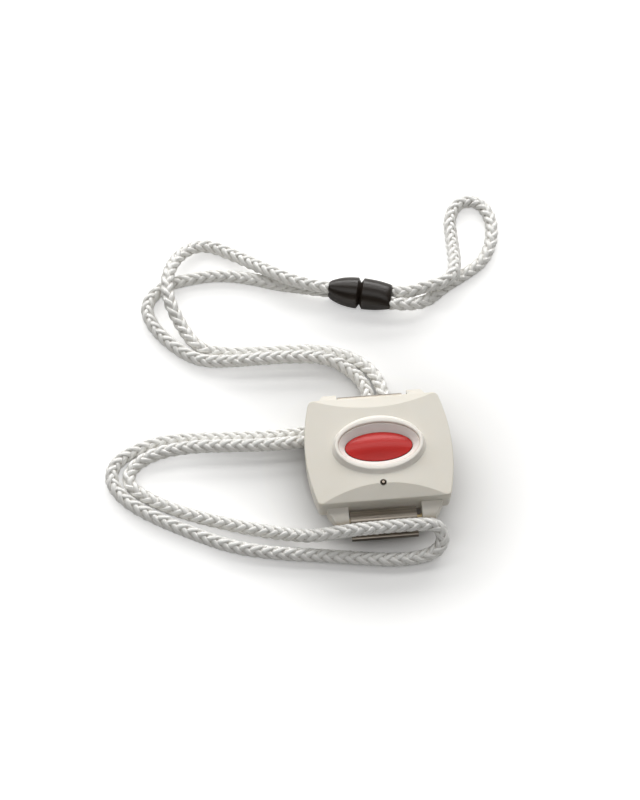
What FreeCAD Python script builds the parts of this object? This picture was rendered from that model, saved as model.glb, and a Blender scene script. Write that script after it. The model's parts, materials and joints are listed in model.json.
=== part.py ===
"""Wearable wireless panic button with a belt clip, a neck cord and a breakaway connector.

Frame: millimetres, +Z up out of the button, +X to the right, the lamp end towards -Y. The origin is on the
surface that the belt clip lies on, under the middle of the housing. The belt clip's belly is at Z = 0.
"""

import FreeCAD
import Part
import math
import os

V = FreeCAD.Vector

# Housing, seen from the front
HOUSING_WIDTH = 44.7        # across the bulge of the sides
END_WIDTH = 39.5            # across the two straight ends
HOUSING_LENGTH = 36.4       # between the two ends
CORNER_RADIUS = 1.6
PART_GAP = 0.1              # between shells and what sits in them

# Belt clip, one bent strip of spring steel
STRIP = 0.7                 # thickness of the steel
CLIP_WIDTH = 20.0
BELT_GAP = 5.0              # room for a belt between plate and tongue
CLIP_SHIFT = -0.6           # play of the clip towards one side, as it lies
CLIP_TAIL = 2.4             # free end, from over the near bar back towards the case
CLIP_RISE = 3.9             # where the plate leaves the case's back, before the near bar
CLIP_REST = 0.15            # between the plate and the tongue at the fold
KNEE_FAR = 8.9              # Y where the tongue leaves the plate
KNEE_NEAR = 4.4             # Y where it reaches the surface
BELLY_END = -12.5           # Y where it rises again
TONGUE_TURN = (0.2, 4.7)    # behind the near bar's axis, and height
LIP_CREST = (-5.55, 6.95)
LIP_END = (-6.1, 6.35)
PLATE_BEND = 0.9            # radii along the strip, on its middle line
RISE_BEND = 1.6
KNEE_BEND = 1.6
BELLY_BEND = 3.0
TONGUE_BEND = 4.0
LIP_BEND = 0.45

# Heights, built up from the surface that the clip lies on
PLATE_TOP = 2 * STRIP + BELT_GAP
CASE_BACK = PLATE_TOP + PART_GAP
CASE_DEPTH = 5.3            # rear case, from its back to the parting line
PARTING = CASE_BACK + CASE_DEPTH
SKIRT_HEIGHT = 2.65         # straight side of the front cover
SKIRT_TOP = PARTING + SKIRT_HEIGHT
FACE_RISE = 1.75            # arch of the face, from its corners to its middle
ARCH_WIDTH = END_WIDTH - 1.6    # width over which the arch falls by that much
FACE_TOP = SKIRT_TOP + FACE_RISE
FACET_RUN = 4.9             # length of the sloped facet at each end, in the middle

# Shell walls
SIDE_WALL = 1.6
FACE_WALL = 1.4
FLOOR = 1.2
BACK_ROUND = 1.6            # rounding of the rear case's back edge
RIM_INSET = 0.15            # rear case is this much smaller than the cover
COVER_EDGE = 0.45           # softened edges of the front cover

# Raised oval rim round the button
RIM_OUT_X = 14.15
RIM_OUT_Y = 9.6
RIM_IN_X = 12.3
RIM_IN_Y = 7.4
RIM_RISE = 1.0              # above the middle of the face
RIM_ROUND = 0.9             # outer edge of its crest
RIM_FOOT = 0.55             # hollow rounding where it meets the face
FOOT_ROOM = 2.0             # ground round the rim that the foot is shaped on
RIM_LIP = 0.55              # crest above the inner slope
LIP_ROUND = 0.5             # inner edge of its crest
SEAM_WIDE = 0.15            # fine groove between crest and inner slope
SEAM_DEEP = 0.2
SEAM_LAND = 0.1             # flat between that groove and the slope
SLOPE_PAST = 0.2            # inner slope runs on below the ledge

# Button
BUTTON_X = 10.15            # half sizes of the oval cap
BUTTON_Y = 4.95
BUTTON_PLAY = 0.2
BUTTON_SINK = 1.15          # cap's edge below the middle of the face
DOME_RISE = 1.25
BUTTON_TRAVEL = 0.5
FLANGE_WIDE = 1.3           # keeps the cap in the cover
FLANGE_THICK = 0.7
COLLAR_WIDE = 1.9           # wall of the rim's collar, round the button's hole
COLLAR_DEEP = 0.9           # collar below the ledge
CAP_WALL = 1.2              # the cap is hollow, round a middle post
CAP_POST_RADIUS = 1.5

# Circuit board and what it carries
BOARD_X = END_WIDTH - 6.5
BOARD_Y = HOUSING_LENGTH - 7.4
BOARD_THICK = 0.8
SWITCH_SIDE = 6.0
SWITCH_HEIGHT = 0.8
SWITCH_FLOOR = 0.1          # left under the plunger's well
SWITCH_EDGE = 0.2
PLUNGER_RADIUS = 1.6
PLUNGER_PLAY = 0.1          # round the plunger
TOUCH_GAP = 0.03            # between faces that rest on each other
PAD_WALL = 1.0
PAD_INSET = 0.3
CELL_RADIUS = 10.0
CELL_THICK = 3.2
CELL_RIM = 0.6
CELL_STEP = 1.2             # can beyond its cap
CELL_ROUND = 0.3
CONTACT_THICK = 0.2
CONTACT_HALF = 3.0          # half width of the sheet contact
CONTACT_PAST = 1.0          # its leg beyond the cell
CONTACT_INSET = 3.0         # round contact inside the cell's edge
CONTACT_GAP = 0.05

# Screws and their posts
POST_X = END_WIDTH / 2 - 5.35
POST_Y = HOUSING_LENGTH / 2 - 6.2
POST_RADIUS = 2.3
SCREW_RADIUS = 1.0
SCREW_HEAD_RADIUS = 1.9
SCREW_HEAD_DEEP = 1.0
SCREW_PLAY = 0.1
THREAD_PLAY = 0.02
SLOT_HALF = 0.2             # half width of the head's slot
SCREW_GRIP = 2.2            # thread above the board
BOARD_PLAY = 0.3

# Gasket between the shells
GASKET_WIDE = 0.7
GASKET_DEEP = 0.7

# Lugs and spring bars
LUG_GAP = 22.0              # between the two lugs of a pair
LUG_ROOT = 6.4              # lug width at the wall
LUG_TIP = 3.8               # lug width at the tip
LUG_NOSE = 2.2              # radius of the lug's tip, seen from the side
NOSE_OUT = 2.35             # its centre beyond the housing's end
NOSE_DROP = 3.0             # its centre below the parting line
LUG_BELOW = 0.05            # lug's top below the parting line
LUG_ABOVE = 0.2             # lug's underside above the case's back
BAR_OUT = 2.67              # bar's axis beyond the housing's end
BAR_DROP = 4.07             # bar's axis below the parting line
BAR_RADIUS = 0.9
BAR_PLAY = 0.1
TIP_RADIUS = 0.45
TIP_PLAY = 0.05             # round a tip, in its tube and in its lug
TIP_CHAMFER = 0.15
TIP_REACH = 1.2             # how far a tip stands into its lug
TIP_TRAVEL = 1.25           # how far a tip can be pushed in, out of its lug
TIP_INSIDE = 2.4            # how far it goes back into the tube
SHOULDER_RADIUS = 0.75
SHOULDER_THICK = 0.35
SHOULDER_PLAY = 0.05        # between the shoulder and the lug

# Lamp
LAMP_RADIUS = 0.9
LAMP_PLAY = 0.1
LAMP_PROUD = 0.15
LAMP_BACK = 0.25            # lamp's centre behind the facet's edge
LAMP_ROUND = 0.3
PIPE_GAP = 0.1              # between the diode and the light pipe
PIPE_FOOT_RADIUS = 1.4
PIPE_FOOT_HIGH = 0.7
LED_SIDE = 1.6
LED_HEIGHT = 0.6

# Other parts on the board: centre, half sizes and height
RADIO_PLACE = (-8.0, 9.6)
RADIO_HALF = (3.6, 3.0)
RADIO_HEIGHT = 1.1
RADIO_ROUND = 0.4
CHIP_PLACE = (8.2, 9.8)
CHIP_HALF = 2.5
CHIP_HEIGHT = 0.9
CHIP_CHAMFER = 0.25
CRYSTAL_PLACE = (0.5, 11.2)
CRYSTAL_HALF = (2.2, 1.0)
CRYSTAL_HEIGHT = 1.0
WIRE_RADIUS = 0.3           # antenna
WIRE_INSET = 0.8            # from the board's near edge
WIRE_RETURN = 4.4           # where its outer leg ends
WIRE_HALF = 11.3            # X of its outer leg
WIRE_START = 3.2            # X where it leaves the lamp's corner

# Breakaway connector
CONNECTOR_RADIUS = 5.0      # at its thickest
CONNECTOR_CENTRE = V(0.85, 63.15, CONNECTOR_RADIUS)
CONNECTOR_TURN = -13.7      # degrees about Z
CONNECTOR_HALF = 10.0       # length of one half
MOUTH_LONG = 4.3            # half sizes of the oval mouth
MOUTH_SHORT = 2.3
MOUTH_LEAN = 20.0           # degrees by which the socket's mouth leans over, as it lies
CONNECTOR_SWELL = [         # how far along a half, and how full it is there
    (1.0, 0.0), (0.94, 0.22), (0.84, 0.42), (0.66, 0.68), (0.45, 0.87), (0.2, 0.98), (0.0, 1.0),
]
GROOVE_DEEP = 1.5
GROOVE_HALF = 0.9
GROOVE_PAST = 1.5           # its cutter reaches this many times as far out as the shell
SNAP_RADIUS = 2.4
SNAP_LENGTH = 5.5
SNAP_PLAY = 0.15
SNAP_ROUND = 0.5

# Cords
CORD_DIAMETER = 4.2
NECK_PITCH = 4.3            # one strand beside the other in the socket's mouth
LOOP_PITCH = 4.6            # and in the plug's
NECK_LEAD = 7.5             # straight stretch out of the socket's mouth
LOOP_LEAD = 4.5             # and out of the plug's


def oval(half_x, half_y, z):
    """Closed wire of an ellipse centred on the Z axis."""
    if half_x >= half_y:
        curve = Part.Ellipse(V(half_x, 0, z), V(0, half_y, z), V(0, 0, z))
    else:
        curve = Part.Ellipse(V(0, half_y, z), V(-half_x, 0, z), V(0, 0, z))
    return Part.Wire([curve.toShape()])


def oval_prism(half_x, half_y, low, high):
    """Elliptical prism between two heights."""
    return Part.Face(oval(half_x, half_y, low)).extrude(V(0, 0, high - low))


def box(half_x, half_y, low, high, x=0.0, y=0.0):
    """Box centred on (x, y) between two heights."""
    corner = V(x - half_x, y - half_y, low)
    return Part.makeBox(2 * half_x, 2 * half_y, high - low, corner)


def cylinder(radius, low, high, x=0.0, y=0.0):
    """Upright cylinder between two heights."""
    return Part.makeCylinder(radius, high - low, V(x, y, low))


def barrel_face(inset, z):
    """Plan outline of the housing: straight ends, bulged sides and rounded corners."""
    half_wide = HOUSING_WIDTH / 2 - inset
    half_end = END_WIDTH / 2 - inset
    half_long = HOUSING_LENGTH / 2 - inset
    right = Part.Arc(V(half_end, -half_long, z), V(half_wide, 0, z), V(half_end, half_long, z)).toShape()
    left = Part.Arc(V(-half_end, half_long, z), V(-half_wide, 0, z), V(-half_end, -half_long, z)).toShape()
    far = Part.LineSegment(V(half_end, half_long, z), V(-half_end, half_long, z)).toShape()
    near = Part.LineSegment(V(-half_end, -half_long, z), V(half_end, -half_long, z)).toShape()
    return Part.Face(Part.Wire([right, far, left, near]))


def barrel(inset, low, high):
    """Prism of the housing's outline with its four upright corners rounded."""
    solid = barrel_face(inset, low).extrude(V(0, 0, high - low))
    upright = [e for e in solid.Edges if abs(e.BoundBox.ZLength - (high - low)) < 1e-6]
    radius = max(CORNER_RADIUS - inset, 0.4)
    return solid.makeFillet(radius, upright)


def arched_top(lower, sideways):
    """Solid under the arched face and its two sloped facets, lowered and drawn in by given amounts."""
    half = HOUSING_WIDTH / 2 + 1.0
    edge = SKIRT_TOP - lower
    crown = FACE_TOP - lower
    sag = FACE_RISE * (half / (ARCH_WIDTH / 2)) ** 2
    arch = Part.Arc(V(-half, 0, crown - sag), V(0, 0, crown), V(half, 0, crown - sag)).toShape()
    floor = PARTING - 1.0
    sides = [
        Part.LineSegment(V(half, 0, crown - sag), V(half, 0, floor)).toShape(),
        Part.LineSegment(V(half, 0, floor), V(-half, 0, floor)).toShape(),
        Part.LineSegment(V(-half, 0, floor), V(-half, 0, crown - sag)).toShape(),
    ]
    profile = Part.Face(Part.Wire([arch] + sides))
    run = HOUSING_LENGTH / 2 + 1.0
    profile.translate(V(0, -run, 0))
    vault = profile.extrude(V(0, 2 * run, 0))
    end = HOUSING_LENGTH / 2 - sideways
    slope = FACE_RISE / FACET_RUN
    outline = Part.makePolygon([
        V(0, -end - 1.0, floor), V(0, end + 1.0, floor),
        V(0, end + 1.0, edge - slope), V(0, end - FACET_RUN, crown),
        V(0, end - FACET_RUN, crown + 1.0), V(0, -end + FACET_RUN, crown + 1.0),
        V(0, -end + FACET_RUN, crown), V(0, -end - 1.0, edge - slope),
        V(0, -end - 1.0, floor),
    ])
    facets = Part.Face(outline)
    facets.translate(V(-half, 0, 0))
    return vault.common(facets.extrude(V(2 * half, 0, 0)))


def edge_at(shape, test):
    """Edges whose sampled points all pass a test."""
    found = []
    for edge in shape.Edges:
        points = edge.discretize(7)
        if all(test(p) for p in points):
            found.append(edge)
    return found


def front_cover():
    """Moulded front shell with its arched face, facets, screw posts and the openings for rim and lamp."""
    outer = barrel(0, PARTING, FACE_TOP + 2).common(arched_top(0, 0))
    top = edge_at(outer, lambda p: p.z > PARTING + 0.5)
    outer = outer.makeFillet(COVER_EDGE, top)
    inner = barrel(SIDE_WALL, PARTING - 1, FACE_TOP).common(arched_top(FACE_WALL, SIDE_WALL))
    posts = [cylinder(POST_RADIUS, board_top() + BOARD_PLAY, FACE_TOP, x, y).common(arched_top(0.5, 0.5))
             for x, y in post_places()]
    shell = outer.cut(inner).fuse(posts)
    for x, y in post_places():
        shell = shell.cut(cylinder(SCREW_RADIUS, PARTING - 1, screw_end() + 0.2, x, y))
    shell = shell.cut(cylinder(LAMP_RADIUS + LAMP_PLAY, PARTING, FACE_TOP + 2, 0, lamp_place()))
    shell = shell.cut(oval_prism(collar_x() + PART_GAP, collar_y() + PART_GAP, PARTING - 1, FACE_TOP + 1))
    return shell.removeSplitter()


def hole_x():
    """Half length of the hole that the button moves in."""
    return BUTTON_X + BUTTON_PLAY


def hole_y():
    """Half width of the hole that the button moves in."""
    return BUTTON_Y + BUTTON_PLAY


def collar_x():
    """Half length of the rim's collar in the front cover."""
    return hole_x() + COLLAR_WIDE


def collar_y():
    """Half width of the rim's collar in the front cover."""
    return hole_y() + COLLAR_WIDE


def well_floor():
    """Height of the ledge round the button, at the foot of the rim's inner slope."""
    return FACE_TOP - BUTTON_SINK


def on_rim_outline(point):
    """Tells whether a point lies on the rim's outer oval, seen from above."""
    return abs((point.x / RIM_OUT_X) ** 2 + (point.y / RIM_OUT_Y) ** 2 - 1) < 0.01


def button_rim():
    """Raised oval rim that sits on the face, with its inner slope and its collar through the front cover."""
    rim_top = FACE_TOP + RIM_RISE
    slope_top = rim_top - RIM_LIP
    crown = oval_prism(RIM_OUT_X, RIM_OUT_Y, PARTING + 1, rim_top)
    crown = crown.makeFillet(RIM_ROUND, edge_at(crown, lambda p: abs(p.z - rim_top) < 1e-6))
    ground = oval_prism(RIM_OUT_X + FOOT_ROOM, RIM_OUT_Y + FOOT_ROOM, PARTING + 1, FACE_TOP)
    raised = crown.fuse(ground.common(arched_top(0, 0))).removeSplitter()
    foot = edge_at(raised, lambda p: SKIRT_TOP < p.z <= FACE_TOP and on_rim_outline(p))
    crown = raised.makeFillet(RIM_FOOT, foot).cut(arched_top(0, 0))
    crown = crown.cut(oval_prism(RIM_IN_X, RIM_IN_Y, slope_top, rim_top + 1))
    lip = [e for e in edge_at(crown, lambda p: abs(p.z - rim_top) < 1e-6)
           if e.BoundBox.XLength < 2 * RIM_IN_X + 0.1]
    crown = crown.makeFillet(LIP_ROUND, lip)
    collar = oval_prism(collar_x(), collar_y(), well_floor() - COLLAR_DEEP, FACE_TOP)
    seam_x = RIM_IN_X - SEAM_WIDE
    seam_y = RIM_IN_Y - SEAM_WIDE
    seam = oval_prism(RIM_IN_X, RIM_IN_Y, slope_top - SEAM_DEEP, slope_top).cut(
        oval_prism(seam_x, seam_y, slope_top - 1, slope_top + 1))
    funnel = Part.makeLoft([
        oval(hole_x(), hole_y(), well_floor() - SLOPE_PAST),
        oval(seam_x - SEAM_LAND, seam_y - SEAM_LAND, slope_top),
    ], True, True)
    hole = oval_prism(hole_x(), hole_y(), PARTING - 1, FACE_TOP)
    return crown.fuse(collar).cut([funnel, hole, seam]).removeSplitter()


def post_places():
    """Centres of the four screw posts."""
    return [(sx * POST_X, sy * POST_Y) for sx in (-1, 1) for sy in (-1, 1)]


def lamp_place():
    """Y of the lamp: on the face, just behind the near facet."""
    return -(HOUSING_LENGTH / 2 - FACET_RUN) + LAMP_BACK


def cell_low():
    """Underside of the coin cell."""
    return CASE_BACK + FLOOR + CONTACT_THICK + 2 * CONTACT_GAP


def board_low():
    """Underside of the circuit board."""
    return cell_low() + CELL_THICK + CONTACT_THICK + 2 * CONTACT_GAP


def board_top():
    """Upper face of the circuit board."""
    return board_low() + BOARD_THICK


def flange_low():
    """Underside of the button's flange, which is also its underside."""
    return well_floor() - COLLAR_DEEP - PART_GAP - FLANGE_THICK


def screw_end():
    """Upper end of the screws."""
    return board_top() + SCREW_GRIP


def bar_height():
    """Height of both spring bars."""
    return PARTING - BAR_DROP


def bar_place(end):
    """Y of the spring bar at one end."""
    return end * (HOUSING_LENGTH / 2 + BAR_OUT)


def lug(side, end):
    """One tapered lug: a rounded nose round the bar, blended back to the rear case's wall."""
    wall_y = HOUSING_LENGTH / 2 - SIDE_WALL
    centre = V(0, HOUSING_LENGTH / 2 + NOSE_OUT, PARTING - NOSE_DROP)
    top = PARTING - LUG_BELOW
    low = CASE_BACK + LUG_ABOVE
    nose = cylinder_x(LUG_NOSE, LUG_ROOT, centre)
    upper = tangent_point(V(0, wall_y + SIDE_WALL, top), centre, LUG_NOSE, 1)
    lower = tangent_point(V(0, wall_y, low), centre, LUG_NOSE, -1)
    outline = Part.makePolygon([
        V(0, wall_y, low), lower, centre, upper,
        V(0, wall_y + SIDE_WALL, top), V(0, wall_y, top), V(0, wall_y, low),
    ])
    body = Part.Face(outline).extrude(V(LUG_ROOT, 0, 0)).fuse(nose)
    tip_y = centre.y + LUG_NOSE
    plan = Part.makePolygon([
        V(0, wall_y - 1, 0), V(LUG_ROOT, wall_y - 1, 0), V(LUG_ROOT, wall_y + SIDE_WALL, 0),
        V(LUG_TIP, tip_y + 0.1, 0), V(0, tip_y + 0.1, 0), V(0, wall_y - 1, 0),
    ])
    body = body.common(Part.Face(plan).extrude(V(0, 0, PARTING)))
    hole = cylinder_x(TIP_RADIUS + TIP_PLAY, TIP_REACH + TIP_PLAY, V(0, bar_place(1), bar_height()))
    body = body.cut(hole)
    body.translate(V(LUG_GAP / 2, 0, 0))
    if side < 0:
        body = body.mirror(V(0, 0, 0), V(1, 0, 0))
    if end < 0:
        body = body.mirror(V(0, 0, 0), V(0, 1, 0))
    return body


def cylinder_x(radius, length, start):
    """Cylinder along +X from a start point."""
    return Part.makeCylinder(radius, length, start, V(1, 0, 0))


def tangent_point(start, centre, radius, side):
    """Point where a line from start in the YZ plane touches a circle, above (1) or below (-1) it."""
    to_centre = centre - start
    distance = to_centre.Length
    base = math.atan2(to_centre.z, to_centre.y)
    half = math.asin(radius / distance)
    heading = base + side * half
    reach = math.sqrt(distance ** 2 - radius ** 2)
    return V(0, start.y + reach * math.cos(heading), start.z + reach * math.sin(heading))


def rear_case():
    """Moulded rear shell with its floor, screw posts and the four lugs."""
    outer = barrel(RIM_INSET, CASE_BACK, PARTING)
    back = edge_at(outer, lambda p: abs(p.z - CASE_BACK) < 1e-6)
    outer = outer.makeFillet(BACK_ROUND, back)
    inner = barrel(SIDE_WALL + RIM_INSET, CASE_BACK + FLOOR, PARTING + 1)
    groove_in = SIDE_WALL / 2 + RIM_INSET + GASKET_WIDE / 2
    groove_out = groove_in - GASKET_WIDE
    groove = barrel(groove_out, PARTING - GASKET_DEEP, PARTING + 1).cut(
        barrel(groove_in, PARTING - GASKET_DEEP - 1, PARTING + 2))
    shell = outer.fuse([lug(side, end) for side in (-1, 1) for end in (-1, 1)])
    shell = shell.cut([inner, groove])
    posts = [cylinder(POST_RADIUS, CASE_BACK + FLOOR / 2, board_low() - CONTACT_GAP, x, y)
             for x, y in post_places()]
    shell = shell.fuse(posts)
    for x, y in post_places():
        shell = shell.cut(cylinder(SCREW_RADIUS + SCREW_PLAY, CASE_BACK - 1, PARTING, x, y))
        shell = shell.cut(cylinder(SCREW_HEAD_RADIUS + SCREW_PLAY, CASE_BACK - 1,
                                   CASE_BACK + SCREW_HEAD_DEEP + SCREW_PLAY, x, y))
    return shell.removeSplitter()


def case_gasket():
    """Sealing ring in the rear case's groove."""
    middle = SIDE_WALL / 2 + RIM_INSET
    half = GASKET_WIDE / 2 - TOUCH_GAP
    outer = barrel(middle - half, PARTING - GASKET_DEEP, PARTING)
    inner = barrel(middle + half, PARTING - GASKET_DEEP - 1, PARTING + 1)
    return outer.cut(inner)


def case_screws():
    """Four screws up through the rear case into the front cover's posts."""
    screws = []
    for x, y in post_places():
        head = cylinder(SCREW_HEAD_RADIUS, CASE_BACK + SCREW_PLAY, CASE_BACK + SCREW_HEAD_DEEP, x, y)
        shank = cylinder(SCREW_RADIUS - THREAD_PLAY, CASE_BACK + SCREW_PLAY, screw_end(), x, y)
        slot = box(SCREW_HEAD_RADIUS + 1, SLOT_HALF, CASE_BACK, CASE_BACK + SCREW_HEAD_DEEP / 2, x, y)
        screws.append(head.fuse(shank).cut(slot))
    return Part.makeCompound(screws)


def button():
    """Red oval cap: flange, straight stem and domed top."""
    low = flange_low()
    edge = well_floor()
    flange = oval_prism(BUTTON_X + FLANGE_WIDE, BUTTON_Y + FLANGE_WIDE, low, low + FLANGE_THICK)
    stem = oval_prism(BUTTON_X, BUTTON_Y, low, edge)
    across = (BUTTON_X ** 2 + DOME_RISE ** 2) / (2 * DOME_RISE)
    ball = Part.makeSphere(across, V(0, 0, edge + DOME_RISE - across))
    ball = ball.common(box(BUTTON_X + 1, BUTTON_X + 1, edge - 0.001, edge + DOME_RISE + 1))
    squeeze = FreeCAD.Matrix()
    squeeze.scale(V(1, BUTTON_Y / BUTTON_X, 1))
    dome = ball.transformGeometry(squeeze)
    hollow = oval_prism(BUTTON_X - CAP_WALL, BUTTON_Y - CAP_WALL, low - 1, edge)
    post = cylinder(CAP_POST_RADIUS, low, edge + TOUCH_GAP)
    return flange.fuse([stem, dome]).cut(hollow).fuse(post).removeSplitter()


def button_pad():
    """Soft oval ring under the flange that brings the button back."""
    out_x = BUTTON_X + FLANGE_WIDE - PAD_INSET
    out_y = BUTTON_Y + FLANGE_WIDE - PAD_INSET
    outer = oval_prism(out_x, out_y, board_top(), flange_low())
    return outer.cut(oval_prism(out_x - PAD_WALL, out_y - PAD_WALL, board_top() - 1, flange_low() + 1))


def switch_body():
    """Square body of the tactile switch with the well for its plunger."""
    half = SWITCH_SIDE / 2
    body = box(half, half, board_top(), board_top() + SWITCH_HEIGHT)
    body = body.makeChamfer(SWITCH_EDGE, edge_at(body, lambda p: p.z > board_top() + SWITCH_HEIGHT - 1e-6))
    well = board_top() + SWITCH_FLOOR
    return body.cut(cylinder(PLUNGER_RADIUS + PLUNGER_PLAY, well, FACE_TOP))


def switch_plunger():
    """Round plunger of the tactile switch, which follows the button."""
    low = board_top() + SWITCH_FLOOR + BUTTON_TRAVEL + TOUCH_GAP
    return cylinder(PLUNGER_RADIUS, low, flange_low() - TOUCH_GAP)


def circuit_board():
    """Board with notches for the four screw posts."""
    board = box(BOARD_X / 2, BOARD_Y / 2, board_low(), board_top())
    for x, y in post_places():
        board = board.cut(cylinder(SCREW_RADIUS + BOARD_PLAY, board_low() - 1, board_top() + 1, x, y))
    return board


def coin_cell():
    """Coin cell: the wide can below, the smaller cap above."""
    low = cell_low()
    can = cylinder(CELL_RADIUS, low, low + CELL_THICK - CELL_RIM)
    cap = cylinder(CELL_RADIUS - CELL_STEP, low, low + CELL_THICK)
    solid = can.fuse(cap)
    rims = edge_at(solid, lambda p: p.z < low + 1e-6 or abs(p.z - low - CELL_THICK + CELL_RIM) < 1e-6)
    rims = [e for e in rims if e.BoundBox.XLength > 2 * CELL_RADIUS - 0.1]
    return solid.makeFillet(CELL_ROUND, rims)


def battery_contact_plus():
    """Sheet contact under the cell with one leg up to the board."""
    low = CASE_BACK + FLOOR + CONTACT_GAP
    far = CELL_RADIUS + CONTACT_PAST
    blade = box(CONTACT_HALF, far / 2, low, low + CONTACT_THICK, 0, far / 2)
    leg = box(CONTACT_HALF, CONTACT_THICK / 2, low, board_low(), 0, far - CONTACT_THICK / 2)
    return blade.fuse(leg).removeSplitter()


def battery_contact_minus():
    """Sheet contact on the board's underside, over the cell's cap."""
    return cylinder(CELL_RADIUS - CONTACT_INSET, board_low() - CONTACT_THICK, board_low())


def radio_can():
    """Metal can over the radio."""
    high = board_top() + RADIO_HEIGHT
    can = box(*RADIO_HALF, board_top(), high, *RADIO_PLACE)
    return can.makeFillet(RADIO_ROUND, edge_at(can, lambda p: p.z > high - 1e-6))


def controller_chip():
    """Flat square chip."""
    high = board_top() + CHIP_HEIGHT
    chip = box(CHIP_HALF, CHIP_HALF, board_top(), high, *CHIP_PLACE)
    return chip.makeChamfer(CHIP_CHAMFER, edge_at(chip, lambda p: p.z > high - 1e-6))


def crystal():
    """Small oval metal can of the crystal."""
    can = oval_prism(*CRYSTAL_HALF, board_top(), board_top() + CRYSTAL_HEIGHT)
    can.translate(V(*CRYSTAL_PLACE, 0))
    return can


def antenna():
    """Wire loop round the near end of the board."""
    z = board_top() + WIRE_RADIUS
    near = -BOARD_Y / 2 + WIRE_INSET
    start = V(-WIRE_HALF, -BOARD_Y / 2 + WIRE_RETURN, z)
    path = Part.makePolygon([start, V(-WIRE_HALF, near, z), V(-WIRE_START, near, z)])
    ring = Part.Wire([Part.Circle(start, V(0, 1, 0), WIRE_RADIUS).toShape()])
    return path.makePipeShell([ring], True, False, 2)


def status_led():
    """Light-emitting diode under the lamp's light pipe."""
    half = LED_SIDE / 2
    return box(half, half, board_top(), board_top() + LED_HEIGHT, 0, lamp_place())


def light_pipe():
    """Clear rod from the diode to the face, with a rounded end and a wider foot."""
    low = board_top() + LED_HEIGHT + PIPE_GAP
    high = FACE_TOP + LAMP_PROUD
    rod = cylinder(LAMP_RADIUS, low, high, 0, lamp_place())
    rod = rod.makeFillet(LAMP_ROUND, edge_at(rod, lambda p: p.z > high - 1e-6))
    return rod.fuse(cylinder(PIPE_FOOT_RADIUS, low, low + PIPE_FOOT_HIGH, 0, lamp_place()))


def tube_half():
    """Half the length of a spring bar's tube: its tips' shoulders have room to move in."""
    return LUG_GAP / 2 - SHOULDER_PLAY - SHOULDER_THICK - TIP_TRAVEL - SHOULDER_PLAY


def spring_bar(end):
    """Tube of one spring bar, bored at both ends for its tips."""
    half = tube_half()
    centre = V(0, bar_place(end), bar_height())
    tube = cylinder_x(BAR_RADIUS, 2 * half, centre - V(half, 0, 0))
    depth = TIP_INSIDE + TIP_TRAVEL + BAR_PLAY
    for bore_start in (-half, half - depth):
        tube = tube.cut(cylinder_x(TIP_RADIUS + TIP_PLAY, depth, centre + V(bore_start, 0, 0)))
    return tube


def bar_tip(end, side):
    """Sprung end pin of a spring bar: its shank in the tube and its shoulder against the lug."""
    centre = V(0, bar_place(end), bar_height())
    inner_end = tube_half() - TIP_INSIDE
    outer_end = LUG_GAP / 2 + TIP_REACH
    pin = cylinder_x(TIP_RADIUS, outer_end - inner_end, centre + V(inner_end, 0, 0))
    pin = pin.makeChamfer(TIP_CHAMFER, edge_at(pin, lambda p: p.x > outer_end - 1e-6))
    shoulder_start = LUG_GAP / 2 - SHOULDER_PLAY - SHOULDER_THICK
    pin = pin.fuse(cylinder_x(SHOULDER_RADIUS, SHOULDER_THICK, centre + V(shoulder_start, 0, 0)))
    if side < 0:
        pin = pin.mirror(V(0, 0, 0), V(1, 0, 0))
    return pin


def strip_profile(points, radii):
    """Wire of straight runs joined by tangent arcs of given radii, in the YZ plane."""
    edges = []
    last = points[0]
    for i in range(1, len(points) - 1):
        corner = points[i]
        back = (points[i - 1] - corner).normalize()
        ahead = (points[i + 1] - corner).normalize()
        turn = math.pi - back.getAngle(ahead)
        reach = radii[i - 1] * math.tan(turn / 2)
        start = corner + back * reach
        stop = corner + ahead * reach
        inward = (back + ahead).normalize()
        centre = corner + inward * (radii[i - 1] / math.cos(turn / 2))
        middle = centre - inward * radii[i - 1]
        edges.append(Part.LineSegment(last, start).toShape())
        edges.append(Part.Arc(start, middle, stop).toShape())
        last = stop
    edges.append(Part.LineSegment(last, points[-1]).toShape())
    return edges


def belt_clip():
    """One steel strip: hook round the near bar, plate, fold round the far bar, tongue and lip."""
    mid_hook = BAR_RADIUS + BAR_PLAY + STRIP / 2
    near_y = bar_place(-1)
    far_y = bar_place(1)
    bar_z = bar_height()
    plate_z = PLATE_TOP - STRIP / 2
    step_z = plate_z - STRIP - CLIP_REST
    belly_z = STRIP / 2
    top_z = bar_z + mid_hook
    centre = V(0, near_y, bar_z)
    rise_start = V(0, near_y + CLIP_RISE, plate_z)
    touch = tangent_point_back(rise_start, centre, mid_hook)
    over = V(0, near_y, top_z)
    front = V(0, near_y - mid_hook, bar_z)
    edges = [
        Part.LineSegment(over + V(0, CLIP_TAIL, 0), over).toShape(),
        Part.Arc(over, front, touch).toShape(),
    ]
    fold_bend = mid_hook - 0.01
    corners = [
        (rise_start, RISE_BEND),
        (V(0, far_y - mid_hook, plate_z), PLATE_BEND),
        (V(0, far_y - mid_hook, top_z), fold_bend),
        (V(0, far_y + mid_hook, top_z), fold_bend),
        (V(0, far_y + mid_hook, step_z), PLATE_BEND),
        (V(0, KNEE_FAR, step_z), KNEE_BEND),
        (V(0, KNEE_NEAR, belly_z), KNEE_BEND),
        (V(0, BELLY_END, belly_z), BELLY_BEND),
        (V(0, near_y + TONGUE_TURN[0], TONGUE_TURN[1]), TONGUE_BEND),
        (V(0, near_y + LIP_CREST[0], LIP_CREST[1]), LIP_BEND),
    ]
    points = [touch] + [corner for corner, _ in corners] + [V(0, near_y + LIP_END[0], LIP_END[1])]
    edges += strip_profile(points, [radius for _, radius in corners])
    return thicken_strip(Part.Wire(edges))


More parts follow.
